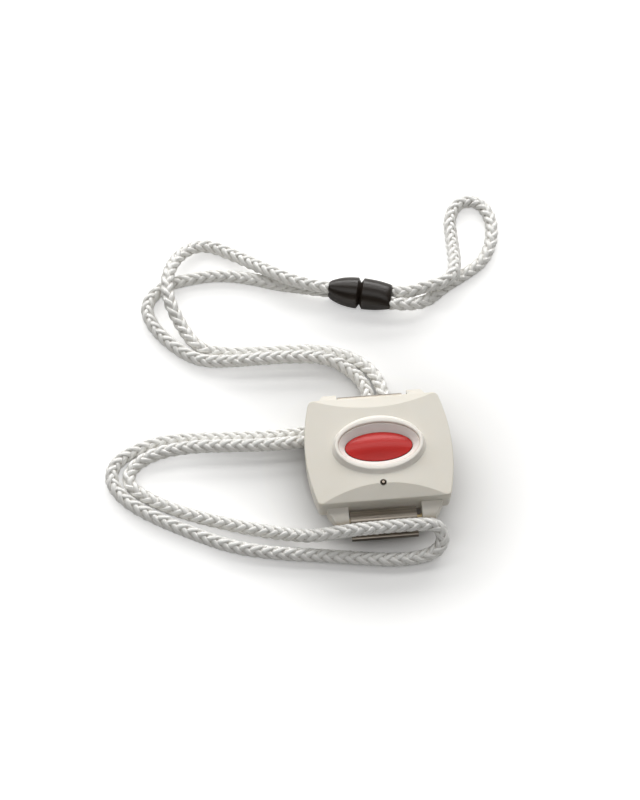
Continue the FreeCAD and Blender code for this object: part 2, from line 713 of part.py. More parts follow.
def tangent_point_back(start, centre, radius):
    """Point where a line from start, heading to -Y, touches the underside of a circle."""
    to_centre = centre - start
    distance = to_centre.Length
    base = math.atan2(to_centre.z, to_centre.y)
    heading = base + math.asin(radius / distance)
    reach = math.sqrt(distance ** 2 - radius ** 2)
    return V(0, start.y + reach * math.cos(heading), start.z + reach * math.sin(heading))


def thicken_strip(spine):
    """Solid strip of the steel's thickness and width along a spine in the YZ plane."""
    first = spine.OrderedEdges[0]
    start = first.valueAt(first.FirstParameter)
    along = first.tangentAt(first.FirstParameter)
    across = along.cross(V(1, 0, 0)).normalize() * (STRIP / 2)
    half = CLIP_WIDTH / 2
    corners = [
        start + across - V(half, 0, 0), start + across + V(half, 0, 0),
        start - across + V(half, 0, 0), start - across - V(half, 0, 0),
    ]
    section = Part.makePolygon(corners + [corners[0]])
    solid = spine.makePipeShell([section], True, False, 2)
    solid.translate(V(CLIP_SHIFT, 0, 0))
    return solid


def at_connector(along, aside, up):
    """Point in the connector's own directions: along its axis, across it, and up."""
    turn = math.radians(CONNECTOR_TURN)
    axis = V(math.cos(turn), math.sin(turn), 0)
    across = V(-math.sin(turn), math.cos(turn), 0)
    return CONNECTOR_CENTRE + axis * along + across * aside + V(0, 0, up)


def connector_shell(wide_flat):
    """Outside of one connector half: oval mouth, full middle and half of the V groove."""
    long_gain = CONNECTOR_RADIUS - MOUTH_LONG
    short_gain = CONNECTOR_RADIUS - MOUTH_SHORT
    rings = [(CONNECTOR_HALF * along, MOUTH_LONG + long_gain * full, MOUTH_SHORT + short_gain * full)
             for along, full in CONNECTOR_SWELL]
    wires = []
    for along, long_half, short_half in rings:
        if wide_flat:
            ring = Part.Ellipse(V(0, long_half, 0), V(-short_half, 0, 0), V(0, 0, 0))
        else:
            ring = Part.Ellipse(V(long_half, 0, 0), V(0, short_half, 0), V(0, 0, 0))
        wire = Part.Wire([ring.toShape()])
        wire.translate(V(0, 0, along))
        wires.append(wire)
    body = Part.makeLoft(wires, True, False)
    flank_wide = CONNECTOR_RADIUS + (GROOVE_PAST - 1) * GROOVE_DEEP
    flank = Part.makeCone(CONNECTOR_RADIUS - GROOVE_DEEP, flank_wide, GROOVE_HALF * GROOVE_PAST)
    groove = Part.makeCylinder(CONNECTOR_RADIUS * GROOVE_PAST, GROOVE_HALF * GROOVE_PAST).cut(flank)
    return body.cut(groove)


def place_connector(half, side):
    """Turns a half built along +Z to lie along the connector's axis."""
    half.rotate(V(0, 0, 0), V(0, 1, 0), 90 * side)
    half.rotate(V(0, 0, 0), V(0, 0, 1), CONNECTOR_TURN)
    half.translate(CONNECTOR_CENTRE)
    return half


def connector_socket():
    """Half with the socket, on the long neck cord."""
    body = connector_shell(False)
    depth = SNAP_LENGTH + SNAP_PLAY
    body = body.cut(Part.makeCylinder(SNAP_RADIUS + SNAP_PLAY, depth))
    body.rotate(V(0, 0, 0), V(0, 0, 1), -MOUTH_LEAN)
    return place_connector(body, -1)


def connector_plug():
    """Half with the snap stem, on the short loop."""
    body = connector_shell(True)
    stem = Part.makeCylinder(SNAP_RADIUS, SNAP_LENGTH, V(0, 0, -SNAP_LENGTH))
    stem = stem.makeFillet(SNAP_ROUND, edge_at(stem, lambda p: p.z < -SNAP_LENGTH + 1e-6))
    return place_connector(body.fuse(stem).removeSplitter(), 1)


def neck_route():
    """Points of the long neck cord, from the socket's mouth round and back to it."""
    lean = math.radians(MOUTH_LEAN)
    aside = -NECK_PITCH / 2 * math.sin(lean)
    lift = NECK_PITCH / 2 * math.cos(lean)
    start = -CONNECTOR_HALF
    points = [
        (-26, 71.9, 7.0), (-36.5, 82.3, 2.6), (-47.6, 89.4, 2.15), (-55.9, 84.9, 3.9), (-60.5, 74.8, 6.6),
        (-60.7, 66.0, 6.4), (-57.1, 57.4, 2.8), (-52.2, 48.6, 2.15), (-43.5, 45.8, 2.15), (-31.1, 45.3, 2.15),
        (-19.1, 45.2, 2.15), (-8.0, 43.1, 2.15), (0.8, 37.2, 2.15), (4.6, 28.6, 2.15), (4.2, 19.5, 2.15),
        (-1.2, 12.9, 2.15), (-10.5, 10.6, 2.4), (-21.5, 10.3, 4.1), (-33, 10.0, 4.3), (-45, 10.8, 4.3),
        (-56.5, 11.5, 4.3), (-67.2, 10.6, 3.7), (-75.1, 7.2, 2.15), (-76.9, 1.3, 2.15), (-70.9, -4.5, 2.15),
        (-61.1, -10.1, 2.15), (-49.3, -14.7, 2.15), (-38.3, -18.3, 2.15), (-28.8, -21.1, 2.9), (-21.6, -24.4, 6.7),
        (-12.8, -25.0, 9.7), (0, -24.8, 9.9), (9.8, -24.8, 9.9), (15.7, -25.0, 8.9), (17.0, -28.8, 4.4),
        (12.6, -31.6, 2.15), (3, -32.3, 2.15), (-8, -30.7, 2.15), (-20, -28.6, 2.15), (-33, -26.8, 2.15),
        (-46, -23.6, 2.15), (-57.5, -17.9, 2.15), (-69.3, -11.1, 2.15), (-77.4, -4.9, 2.15), (-81.9, 2.0, 2.15),
        (-80.6, 8.5, 2.15), (-73.7, 13.2, 2.15), (-63, 15.9, 2.15), (-50, 15.0, 2.15), (-38.5, 14.4, 2.15),
        (-27, 14.2, 2.15), (-16.5, 15.0, 2.15), (-6.9, 15.4, 2.15), (-0.9, 20.6, 2.15), (-0.4, 29.0, 2.15),
        (-4.6, 35.8, 2.6), (-12.3, 40.4, 4.2), (-21.6, 41.3, 4.5), (-31.5, 41.6, 4.5), (-42, 41.6, 4.1),
        (-52.7, 43.8, 2.3), (-61.1, 51.3, 2.15), (-66.4, 58.9, 2.15), (-68.1, 66.9, 2.15), (-61.8, 73.6, 2.15),
        (-53.5, 75.7, 2.15), (-43.5, 76.4, 2.15), (-33.2, 74.0, 2.15), (-25.4, 70.9, 2.15),
    ]
    route = [at_connector(start, aside, lift), at_connector(start - NECK_LEAD, aside, lift)]
    route += [V(*point) for point in points]
    route += [at_connector(start - NECK_LEAD, -aside, -lift), at_connector(start, -aside, -lift)]
    return route


def loop_route():
    """Points of the short loop, from the plug's mouth round and back to it."""
    aside = LOOP_PITCH / 2
    start = CONNECTOR_HALF
    points = [
        (22.0, 63.2, 6.2), (27.6, 63.5, 7.0), (32.2, 67.8, 6.7), (32.9, 82.7, 2.15), (32.9, 92.3, 2.15),
        (37.1, 98.8, 2.15), (43.9, 98.2, 2.15), (46.8, 91.3, 2.15), (46.2, 82.6, 2.15), (42.5, 74.4, 2.15),
        (35.8, 69.6, 2.15), (27.9, 65.0, 2.15), (21.8, 59.4, 2.6),
    ]
    route = [at_connector(start, aside, 0), at_connector(start + LOOP_LEAD, aside, 0)]
    route += [V(*point) for point in points]
    route += [at_connector(start + LOOP_LEAD, -aside, 0), at_connector(start, -aside, 0)]
    return route


def cord(route, name):
    """Plain round tube along straight runs joined by the largest tangent arcs that the runs allow."""
    edges = []
    radii = []
    last = route[0]
    for before, corner, after in zip(route, route[1:], route[2:]):
        back = before - corner
        ahead = after - corner
        reach = 0.45 * min(back.Length, ahead.Length)
        back = back.normalize()
        ahead = ahead.normalize()
        turn = math.pi - back.getAngle(ahead)
        radius = reach / math.tan(turn / 2)
        radii.append(radius)
        inward = (back + ahead).normalize()
        centre = corner + inward * (radius / math.cos(turn / 2))
        start = corner + back * reach
        stop = corner + ahead * reach
        edges.append(Part.LineSegment(last, start).toShape())
        edges.append(Part.Arc(start, centre - inward * radius, stop).toShape())
        last = stop
    edges.append(Part.LineSegment(last, route[-1]).toShape())
    path = Part.Wire(edges)
    heading = (route[1] - route[0]).normalize()
    ring = Part.Wire([Part.Circle(route[0], heading, CORD_DIAMETER / 2).toShape()])
    tube = path.makePipeShell([ring], True, False, 2)
    share = tube.Volume / (math.pi * (CORD_DIAMETER / 2) ** 2 * path.Length)
    print(f"{name}: length {path.Length:.1f} mm, smallest radius {min(radii):.1f} mm, volume share {share:.4f}")
    return tube


def main():
    """Builds every sub-part and writes one file for each."""
    os.makedirs("parts", exist_ok=True)
    nodes = {
        "front_cover": front_cover(),
        "button_rim": button_rim(),
        "rear_case": rear_case(),
        "case_gasket": case_gasket(),
        "case_screws": case_screws(),
        "button": button(),
        "button_pad": button_pad(),
        "switch_body": switch_body(),
        "switch_plunger": switch_plunger(),
        "circuit_board": circuit_board(),
        "coin_cell": coin_cell(),
        "battery_contact_plus": battery_contact_plus(),
        "battery_contact_minus": battery_contact_minus(),
        "radio_can": radio_can(),
        "controller_chip": controller_chip(),
        "crystal": crystal(),
        "antenna": antenna(),
        "status_led": status_led(),
        "light_pipe": light_pipe(),
        "belt_clip": belt_clip(),
        "connector_socket": connector_socket(),
        "connector_plug": connector_plug(),
        "neck_cord": cord(neck_route(), "neck_cord"),
        "loop_cord": cord(loop_route(), "loop_cord"),
    }
    for end, end_name in ((-1, "near"), (1, "far")):
        nodes["spring_bar_" + end_name] = spring_bar(end)
        for side, side_name in ((-1, "left"), (1, "right")):
            nodes["bar_tip_" + end_name + "_" + side_name] = bar_tip(end, side)
    for name, shape in nodes.items():
        bounds = shape.BoundBox
        print(f"{name}: {len(shape.Solids)} solids, valid {shape.isValid()}, volume {shape.Volume:.1f}, "
              f"z {bounds.ZMin:.2f} to {bounds.ZMax:.2f}")
        shape.exportStep("parts/" + name + ".step")


main()
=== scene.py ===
"""Looks of a wearable panic button: housing, belt clip, braided neck cord and breakaway connector."""

from __future__ import annotations

import json
import logging
import math
from dataclasses import dataclass, field
from enum import Enum

import bmesh
import bpy
import numpy as np
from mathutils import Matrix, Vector

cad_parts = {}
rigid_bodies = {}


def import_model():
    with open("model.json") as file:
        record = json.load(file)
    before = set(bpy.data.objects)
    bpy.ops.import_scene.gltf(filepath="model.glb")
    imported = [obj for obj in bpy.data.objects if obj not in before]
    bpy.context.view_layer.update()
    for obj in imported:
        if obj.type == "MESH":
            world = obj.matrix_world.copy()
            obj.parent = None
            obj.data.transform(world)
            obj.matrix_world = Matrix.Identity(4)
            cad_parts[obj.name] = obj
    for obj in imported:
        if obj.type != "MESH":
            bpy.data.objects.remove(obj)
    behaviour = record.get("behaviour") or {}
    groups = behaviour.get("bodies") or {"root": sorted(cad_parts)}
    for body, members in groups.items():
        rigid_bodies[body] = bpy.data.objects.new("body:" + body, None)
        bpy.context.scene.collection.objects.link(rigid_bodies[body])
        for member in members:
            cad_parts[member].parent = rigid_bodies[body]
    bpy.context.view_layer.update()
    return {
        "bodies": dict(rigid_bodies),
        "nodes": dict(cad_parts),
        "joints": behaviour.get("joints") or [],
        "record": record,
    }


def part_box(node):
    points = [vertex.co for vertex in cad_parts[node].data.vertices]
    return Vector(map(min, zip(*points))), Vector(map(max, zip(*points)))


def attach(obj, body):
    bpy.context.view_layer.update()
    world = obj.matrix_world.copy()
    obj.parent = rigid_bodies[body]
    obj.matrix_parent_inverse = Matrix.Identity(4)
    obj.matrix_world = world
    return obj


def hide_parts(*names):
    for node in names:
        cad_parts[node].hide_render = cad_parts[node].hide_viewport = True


LOG = logging.getLogger("panic_button")
MILLIMETRE = 0.001

# Sockets of Blender's Mix node: its share, its two numbers, its two colours and the mixed colour.
MIX_SHARE = 0
MIX_NUMBERS = (2, 3)
MIX_COLOURS = (6, 7)
MIXED_COLOUR = 2

Colour = tuple[float, float, float]
Point = tuple[float, float, float]


class Body(Enum):
    """Moving bodies that a cord can ride on."""

    HOUSING = "housing"
    PLUG = "plug"


class Texture(Enum):
    """What a finish's tone and fine relief follow."""

    GRAIN = "grain"
    STREAKS = "streaks"


class Side(Enum):
    """Which side of an oval a zone lies on: the zone's share within the oval and beyond it."""

    INSIDE = (1.0, 0.0)
    OUTSIDE = (0.0, 1.0)


class NodeSheet:
    """Places and joins nodes in one material or shader group."""

    def __init__(self, tree: bpy.types.NodeTree) -> None:
        """Keeps the tree that the nodes go into."""
        self.tree = tree

    def add(self, kind: str, **values: object) -> bpy.types.Node:
        """Adds one node.

        Args:
            kind: Blender's name for the node's type.
            values: properties of the node, set by name.

        Returns:
            The new node.
        """
        node = self.tree.nodes.new(kind)
        for name, value in values.items():
            setattr(node, name, value)
        return node

    def put(self, node: bpy.types.Node, socket: str | int, value: object) -> None:
        """Sets an input socket's own value."""
        node.inputs[socket].default_value = value

    def join(self, source: bpy.types.NodeSocket, target: bpy.types.NodeSocket) -> None:
        """Links an output socket to an input socket."""
        self.tree.links.new(source, target)

    def maths(self, operation: str, first: object, second: object = 0.0) -> bpy.types.NodeSocket:
        """Adds a Math node fed by sockets or plain numbers.

        Args:
            operation: Blender's name for the operation.
            first: a socket or a number.
            second: a socket or a number.

        Returns:
            The node's output socket.
        """
        node = self.add("ShaderNodeMath", operation=operation)
        for index, value in enumerate((first, second)):
            if isinstance(value, bpy.types.NodeSocket):
                self.join(value, node.inputs[index])
            else:
                self.put(node, index, value)
        return node.outputs[0]

    def blend(self, share: object, low: object, high: object) -> bpy.types.NodeSocket:
        """Mixes two colours.

        Args:
            share: a socket or a number, 0 for the low colour and 1 for the high one.
            low: a socket or a colour.
            high: a socket or a colour.

        Returns:
            The mixed colour's socket.
        """
        node = self.add("ShaderNodeMix", data_type="RGBA")
        for index, value in zip((MIX_SHARE, *MIX_COLOURS), (share, low, high)):
            if isinstance(value, bpy.types.NodeSocket):
                self.join(value, node.inputs[index])
            else:
                self.put(node, index, value if index == MIX_SHARE else (*value, 1.0))
        return node.outputs[MIXED_COLOUR]

    def spread(self, value: bpy.types.NodeSocket, low: float, high: float,
               to_low: float = 0.0, to_high: float = 1.0) -> bpy.types.NodeSocket:
        """Maps a range of values to another one, held at its ends.

        Args:
            value: the socket to map.
            low: start of the range that comes in.
            high: end of the range that comes in.
            to_low: what the start becomes.
            to_high: what the end becomes.

        Returns:
            The mapped value's socket.
        """
        node = self.add("ShaderNodeMapRange")
        self.join(value, node.inputs["Value"])
        for name, number in (("From Min", low), ("From Max", high), ("To Min", to_low), ("To Max", to_high)):
            self.put(node, name, number)
        return node.outputs["Result"]

    def own_place(self) -> bpy.types.NodeSocket:
        """Gives the place on the object, in its own coordinates."""
        return self.add("ShaderNodeTexCoord").outputs["Object"]

    def own_axes(self) -> bpy.types.Node:
        """Splits the place on the object into its three axes.

        Returns:
            The node with outputs X, Y and Z.
        """
        node = self.add("ShaderNodeSeparateXYZ")
        self.join(self.own_place(), node.inputs[0])
        return node

    def relief(self, height: bpy.types.NodeSocket, strength: float, distance: float,
               surface: bpy.types.Node) -> None:
        """Gives a surface a fine relief.

        Args:
            height: socket of the relief's height.
            strength: share of the relief that shows.
            distance: height of the relief in metres.
            surface: the surface's shader.
        """
        bump = self.add("ShaderNodeBump")
        self.put(bump, "Strength", strength)
        self.put(bump, "Distance", distance)
        self.join(height, bump.inputs["Height"])
        self.join(bump.outputs["Normal"], surface.inputs["Normal"])


def new_surface(name: str) -> tuple[bpy.types.Material, NodeSheet, bpy.types.Node]:
    """Makes a material with node shading.

    Args:
        name: the material's name.

    Returns:
        The material, its node sheet and its shader.
    """
    material = bpy.data.materials.new(name)
    material.use_nodes = True
    return material, NodeSheet(material.node_tree), material.node_tree.nodes["Principled BSDF"]


class SharedEffects:
    """Shader groups that more than one finish uses, each built once."""

    PATCH_EDGES = (0.35, 0.65)
    MOTTLE_DETAIL = 3.0
    STREAK_DETAIL = 2.0
    OPENNESS = (0.25, 0.8)
    CREVICE_SAMPLES = 8

    def __init__(self) -> None:
        """Builds the groups."""
        self.mottle = self._mottle()
        self.crevice = self._crevice()
        self.streaks = self._streaks()

    @staticmethod
    def _group(name: str, inputs: dict[str, tuple[str, object]],
               outputs: dict[str, str]) -> tuple[NodeSheet, bpy.types.Node, bpy.types.Node]:
        """Makes an empty group with named sockets.

        Args:
            name: the group's name.
            inputs: socket name to its type and default value.
            outputs: socket name to its type.

        Returns:
            The group's sheet, its input node and its output node.
        """
        tree = bpy.data.node_groups.new(name, "ShaderNodeTree")
        for label, (kind, value) in inputs.items():
            socket = tree.interface.new_socket(name=label, in_out="INPUT", socket_type=kind)
            socket.default_value = value
        for label, kind in outputs.items():
            tree.interface.new_socket(name=label, in_out="OUTPUT", socket_type=kind)
        sheet = NodeSheet(tree)
        return sheet, sheet.add("NodeGroupInput"), sheet.add("NodeGroupOutput")

    def _mottle(self) -> bpy.types.NodeTree:
        """Uneven tone, fine roughness and a grainy height, all from the object's own coordinates.

        Returns:
            The group, with outputs Color, Roughness and Height.
        """
        sheet, given, out = self._group(
            "mottled surface",
            {
                "Light": ("NodeSocketColor", (1, 1, 1, 1)),
                "Dark": ("NodeSocketColor", (0.8, 0.8, 0.8, 1)),
                "Patch Scale": ("NodeSocketFloat", 60.0),
                "Grain Scale": ("NodeSocketFloat", 3000.0),
                "Smooth": ("NodeSocketFloat", 0.4),
                "Rough": ("NodeSocketFloat", 0.55),
            },
            {"Color": "NodeSocketColor", "Roughness": "NodeSocketFloat", "Height": "NodeSocketFloat"},
        )
        place = sheet.own_place()
        patches = sheet.add("ShaderNodeTexNoise")
        grain = sheet.add("ShaderNodeTexNoise")
        for node, scale in ((patches, "Patch Scale"), (grain, "Grain Scale")):
            sheet.join(place, node.inputs["Vector"])
            sheet.join(given.outputs[scale], node.inputs["Scale"])
            sheet.put(node, "Detail", self.MOTTLE_DETAIL)
        tone = sheet.spread(patches.outputs["Fac"], *self.PATCH_EDGES)
        sheet.join(sheet.blend(tone, given.outputs["Light"], given.outputs["Dark"]), out.inputs["Color"])
        gloss = sheet.add("ShaderNodeMix")
        sheet.join(tone, gloss.inputs[MIX_SHARE])
        for name, index in zip(("Smooth", "Rough"), MIX_NUMBERS):
            sheet.join(given.outputs[name], gloss.inputs[index])
        sheet.join(gloss.outputs[0], out.inputs["Roughness"])
        sheet.join(grain.outputs["Fac"], out.inputs["Height"])
        return sheet.tree

    def _crevice(self) -> bpy.types.NodeTree:
        """Paints shade, with some soil, into a colour where other surfaces stand close, darkening joints and
        hollows.

        Returns:
            The group, with output Color.
        """
        sheet, given, out = self._group(
            "painted crevice shade and soil",
            {
                "Clean": ("NodeSocketColor", (1, 1, 1, 1)),
                "Shade And Soil": ("NodeSocketColor", (0.2, 0.15, 0.1, 1)),
                "Reach": ("NodeSocketFloat", 0.001),
                "Strength": ("NodeSocketFloat", 0.5),
            },
            {"Color": "NodeSocketColor"},
        )
        # Painted shade with some soil: the occlusion test darkens the colour where other surfaces stand
        # close.
        near = sheet.add("ShaderNodeAmbientOcclusion", samples=self.CREVICE_SAMPLES)
        sheet.join(given.outputs["Reach"], near.inputs["Distance"])
        closeness = sheet.spread(near.outputs["AO"], *self.OPENNESS, 1.0, 0.0)
        share = sheet.maths("MULTIPLY", closeness, given.outputs["Strength"])
        sheet.join(sheet.blend(share, given.outputs["Clean"], given.outputs["Shade And Soil"]), out.inputs["Color"])
        return sheet.tree

    def _streaks(self) -> bpy.types.NodeTree:
        """Fine lines along X, as rolling and brushing leave them.

        Returns:
            The group, with output Value.
        """
        sheet, given, out = self._group(
            "rolled streaks",
            {"Scale": ("NodeSocketFloat", 900.0), "Length": ("NodeSocketFloat", 0.02)},
            {"Value": "NodeSocketFloat"},
        )
        place = sheet.own_axes()
        squeezed = sheet.add("ShaderNodeCombineXYZ")
        sheet.join(sheet.maths("MULTIPLY", place.outputs["X"], given.outputs["Length"]), squeezed.inputs["X"])
        sheet.join(place.outputs["Y"], squeezed.inputs["Y"])
        sheet.join(place.outputs["Z"], squeezed.inputs["Z"])
        lines = sheet.add("ShaderNodeTexNoise")
        sheet.join(squeezed.outputs[0], lines.inputs["Vector"])
        sheet.join(given.outputs["Scale"], lines.inputs["Scale"])
        sheet.put(lines, "Detail", self.STREAK_DETAIL)
        sheet.join(lines.outputs["Fac"], out.inputs["Value"])
        return sheet.tree


@dataclass(frozen=True)
class PaintedLightOval:
    """A part of a piece, inside or outside an upright oval, given a tone of painted light."""

    half: tuple[float, float]
    side: Side
    colour: Colour
    blur: float = 0.03

    def over(self, sheet: NodeSheet, colour: bpy.types.NodeSocket) -> bpy.types.NodeSocket:
        """Lays the zone's tone over a colour.

        Args:
            sheet: the material's node sheet.
            colour: the colour's socket.

        Returns:
            The socket of the colour with the zone in it.
        """
        place = sheet.own_axes()
        shares = [sheet.maths("DIVIDE", place.outputs[axis], half) for axis, half in zip("XY", self.half)]
        reach = sheet.maths("ADD", *(sheet.maths("MULTIPLY", share, share) for share in shares))
        mask = sheet.spread(reach, 1.0 - self.blur, 1.0 + self.blur, *self.side.value)
        return sheet.blend(mask, colour, self.colour)


@dataclass(frozen=True)
class Finish:
    """One material of the object: a mottled surface with a fine grain, with painted shade and some soil where
    other surfaces stand close, and any ovals of painted light.
    """

    name: str
    light: Colour
    dark: Colour
    smooth: float = 0.4
    rough: float = 0.55
    patch_scale: float = 60.0
    grain_scale: float = 3000.0
    grain_height: float = 0.00001
    # Painted shade with some soil, darkening the colour where other surfaces stand close.
    shade_and_soil: Colour = (0.25, 0.2, 0.14)
    shade_and_soil_reach: float = 0.0012
    shade_and_soil_strength: float = 0.0
    metallic: float = 0.0
    specular: float = 0.5
    anisotropic: float = 0.0
    relief_strength: float = 0.6
    texture: Texture = Texture.GRAIN
    streak_edges: tuple[float, float] = (0.3, 0.7)
    streak_scale: float = 900.0
    streak_length: float = 0.02
    subsurface: float = 0.0
    subsurface_scale: float = 0.001
    subsurface_radius: Colour = (1.0, 0.85, 0.72)
    painted_light_zones: tuple[PaintedLightOval, ...] = ()

    def material(self, effects: SharedEffects) -> bpy.types.Material:
        """Builds the material.

        Args:
            effects: the shader groups that finishes share.

        Returns:
            The new material.
        """
        material, sheet, surface = new_surface(self.name)
        mottle = sheet.add("ShaderNodeGroup", node_tree=effects.mottle)
        for socket, value in (
            ("Light", (*self.light, 1)), ("Dark", (*self.dark, 1)), ("Patch Scale", self.patch_scale),
            ("Grain Scale", self.grain_scale), ("Smooth", self.smooth), ("Rough", self.rough),
        ):
            sheet.put(mottle, socket, value)
        colour = mottle.outputs["Color"]
        height = mottle.outputs["Height"]
        # Painted light: ovals where the colour is lifted to stand in for light.
        for zone in self.painted_light_zones:
            colour = zone.over(sheet, colour)
        # Painted shade with some soil: the colour darkens where other surfaces stand close.
        if self.shade_and_soil_strength > 0:
            crevice = sheet.add("ShaderNodeGroup", node_tree=effects.crevice)
            sheet.join(colour, crevice.inputs["Clean"])
            sheet.put(crevice, "Shade And Soil", (*self.shade_and_soil, 1))
            sheet.put(crevice, "Reach", self.shade_and_soil_reach)
            sheet.put(crevice, "Strength", self.shade_and_soil_strength)
            colour = crevice.outputs["Color"]
        if self.texture is Texture.STREAKS:
            streaks = sheet.add("ShaderNodeGroup", node_tree=effects.streaks)
            sheet.put(streaks, "Scale", self.streak_scale)
            sheet.put(streaks, "Length", self.streak_length)
            height = streaks.outputs["Value"]
            tone = sheet.spread(height, *self.streak_edges)
            colour = sheet.blend(tone, self.dark, self.light)
        sheet.join(colour, surface.inputs["Base Color"])
        sheet.join(mottle.outputs["Roughness"], surface.inputs["Roughness"])
        sheet.relief(height, self.relief_strength, self.grain_height, surface)
        for socket, value in (
            ("Metallic", self.metallic), ("Specular IOR Level", self.specular),
            ("Anisotropic", self.anisotropic), ("Subsurface Weight", self.subsurface),
            ("Subsurface Scale", self.subsurface_scale), ("Subsurface Radius", self.subsurface_radius),
        ):
            sheet.put(surface, socket, value)
        return material


# The crevice colours below are painted shade with some soil, laid where other surfaces stand close.
FINISHES: dict[str, Finish] = {
    "housing": Finish("warm_white_housing", (0.80, 0.76, 0.675), (0.78, 0.74, 0.65),
                      smooth=0.42, rough=0.5, grain_height=0.000008,
                      shade_and_soil=(0.5, 0.38, 0.27), shade_and_soil_reach=0.0008, shade_and_soil_strength=0.25,
                      subsurface=0.3, subsurface_scale=0.001),
    # Painted light: the rear case is a lighter copy of the housing's white, standing in for light its shaded
    # walls and lugs don't get.
    "case": Finish("warm_white_case_painted_lighter", (0.83, 0.79, 0.71), (0.80, 0.76, 0.68),
                   smooth=0.42, rough=0.5, grain_height=0.000008,
                   shade_and_soil=(0.5, 0.38, 0.27), shade_and_soil_reach=0.0014, shade_and_soil_strength=0.4,
                   subsurface=0.25, subsurface_scale=0.0008),
    "rim": Finish("clear_white_rim", (0.92, 0.872, 0.80), (0.905, 0.86, 0.785),
                  smooth=0.38, rough=0.46, grain_height=0.000005,
                  shade_and_soil=(0.5, 0.27, 0.14), shade_and_soil_reach=0.0004, shade_and_soil_strength=0.3,
                  subsurface=0.15, subsurface_scale=0.001,
                  # Painted light: the rim's outer foot and its inner slope get lighter, warmer tones,
                  # standing in for light these slopes don't get.
                  painted_light_zones=(PaintedLightOval((0.0139, 0.0095), Side.OUTSIDE, (1.0, 0.94, 0.85), 0.05),
                         PaintedLightOval((0.0122, 0.0073), Side.INSIDE, (1.0, 0.95, 0.89)))),
    "button": Finish("red_cap", (0.56, 0.036, 0.032), (0.52, 0.032, 0.028),
                     smooth=0.2, rough=0.25, grain_height=0.000005, specular=0.22,
                     shade_and_soil=(0.08, 0.004, 0.004), shade_and_soil_reach=0.0005, shade_and_soil_strength=0.8),
    # The steel's tone is partly its own and partly painted reflection: its warm brown tint stands in for the
    # warm surroundings it mirrors.
    "clip": Finish("spring_steel_painted_warm_reflection", (0.54, 0.48, 0.41), (0.33, 0.29, 0.245),
                   smooth=0.34, rough=0.46, grain_height=0.000004, metallic=1.0,
                   anisotropic=0.5, texture=Texture.STREAKS, streak_scale=2400.0, streak_length=0.01),
    "bar": Finish("bright_bar_steel", (0.62, 0.60, 0.57), (0.5, 0.48, 0.45),
                  smooth=0.2, rough=0.3, grain_height=0.000003, metallic=1.0, texture=Texture.STREAKS),
    "tip": Finish("warm_tip_metal", (0.92, 0.76, 0.48), (0.80, 0.64, 0.36),
                  smooth=0.3, rough=0.4, grain_height=0.000003, metallic=1.0),
    "connector": Finish("satin_black_connector", (0.024, 0.017, 0.012), (0.019, 0.013, 0.009),
                        smooth=0.30, rough=0.38, grain_height=0.000003),
    "gasket": Finish("dark_gasket_rubber", (0.05, 0.05, 0.05), (0.03, 0.03, 0.03), smooth=0.7, rough=0.8),
    "pad": Finish("grey_silicone_pad", (0.45, 0.45, 0.43), (0.36, 0.36, 0.35), smooth=0.5, rough=0.65),
    "screw": Finish("plain_screw_steel", (0.5, 0.5, 0.5), (0.38, 0.38, 0.38),
                    smooth=0.3, rough=0.45, metallic=1.0),
    "switch": Finish("black_switch_plastic", (0.04, 0.04, 0.04), (0.025, 0.025, 0.025)),
    "board": Finish("green_board", (0.02, 0.2, 0.08), (0.015, 0.14, 0.06),
                    smooth=0.3, rough=0.4, patch_scale=400.0),
    "cell": Finish("bright_cell_steel", (0.6, 0.6, 0.6), (0.5, 0.5, 0.5),
                   smooth=0.22, rough=0.32, metallic=1.0, texture=Texture.STREAKS),
    "contact": Finish("plated_contact", (0.75, 0.65, 0.4), (0.62, 0.52, 0.3),
                      smooth=0.25, rough=0.35, metallic=1.0),
    "can": Finish("plain_can_metal", (0.6, 0.6, 0.6), (0.48, 0.48, 0.48),
                  smooth=0.35, rough=0.5, metallic=1.0),
    "chip": Finish("black_chip_plastic", (0.03, 0.03, 0.03), (0.02, 0.02, 0.02), smooth=0.5, rough=0.65),
    "diode": Finish("milky_diode", (0.8, 0.8, 0.75), (0.7, 0.7, 0.65), smooth=0.25, rough=0.35),
}


@dataclass(frozen=True)
class LampFinish:
    """The clear lamp, in painted light: a light middle, partly the diode seen through and partly a painted
    highlight, a ring of painted shade as in a dark bore, and a pale edge of painted light as on a lit bevel.
    """

    name: str = "lamp_lens_painted_light"
    middle: Colour = (0.6, 0.5, 0.4)
    ring: Colour = (0.02, 0.012, 0.006)
    edge: Colour = (0.7, 0.66, 0.58)
    middle_radius: float = 0.00034
    ring_radius: float = 0.00084
    blur: float = 0.00012
    roughness: float = 0.25
    specular: float = 0.15

    def material(self, lamp: tuple[Vector, Vector]) -> bpy.types.Material:
        """Builds the material round the lamp's own axis.

        Args:
            lamp: lowest and highest corner of the light pipe.

        Returns:
            The new material.
        """
        axis = (lamp[0] + lamp[1]) / 2
        material, sheet, surface = new_surface(self.name)
        place = sheet.own_axes()
        across = sheet.maths("SUBTRACT", place.outputs["X"], axis.x)
        along = sheet.maths("SUBTRACT", place.outputs["Y"], axis.y)
        distance = sheet.maths("SQRT", sheet.maths(
            "ADD", sheet.maths("MULTIPLY", across, across), sheet.maths("MULTIPLY", along, along)))
        # Painted light: a painted highlight in the middle, painted shade in the ring, a lit edge outside it.
        inside = sheet.spread(distance, self.middle_radius, self.middle_radius + self.blur)
        outside = sheet.spread(distance, self.ring_radius, self.ring_radius + self.blur)
        colour = sheet.blend(outside, sheet.blend(inside, self.middle, self.ring), self.edge)
        sheet.join(colour, surface.inputs["Base Color"])
        sheet.put(surface, "Roughness", self.roughness)
        sheet.put(surface, "Specular IOR Level", self.specular)
        return material


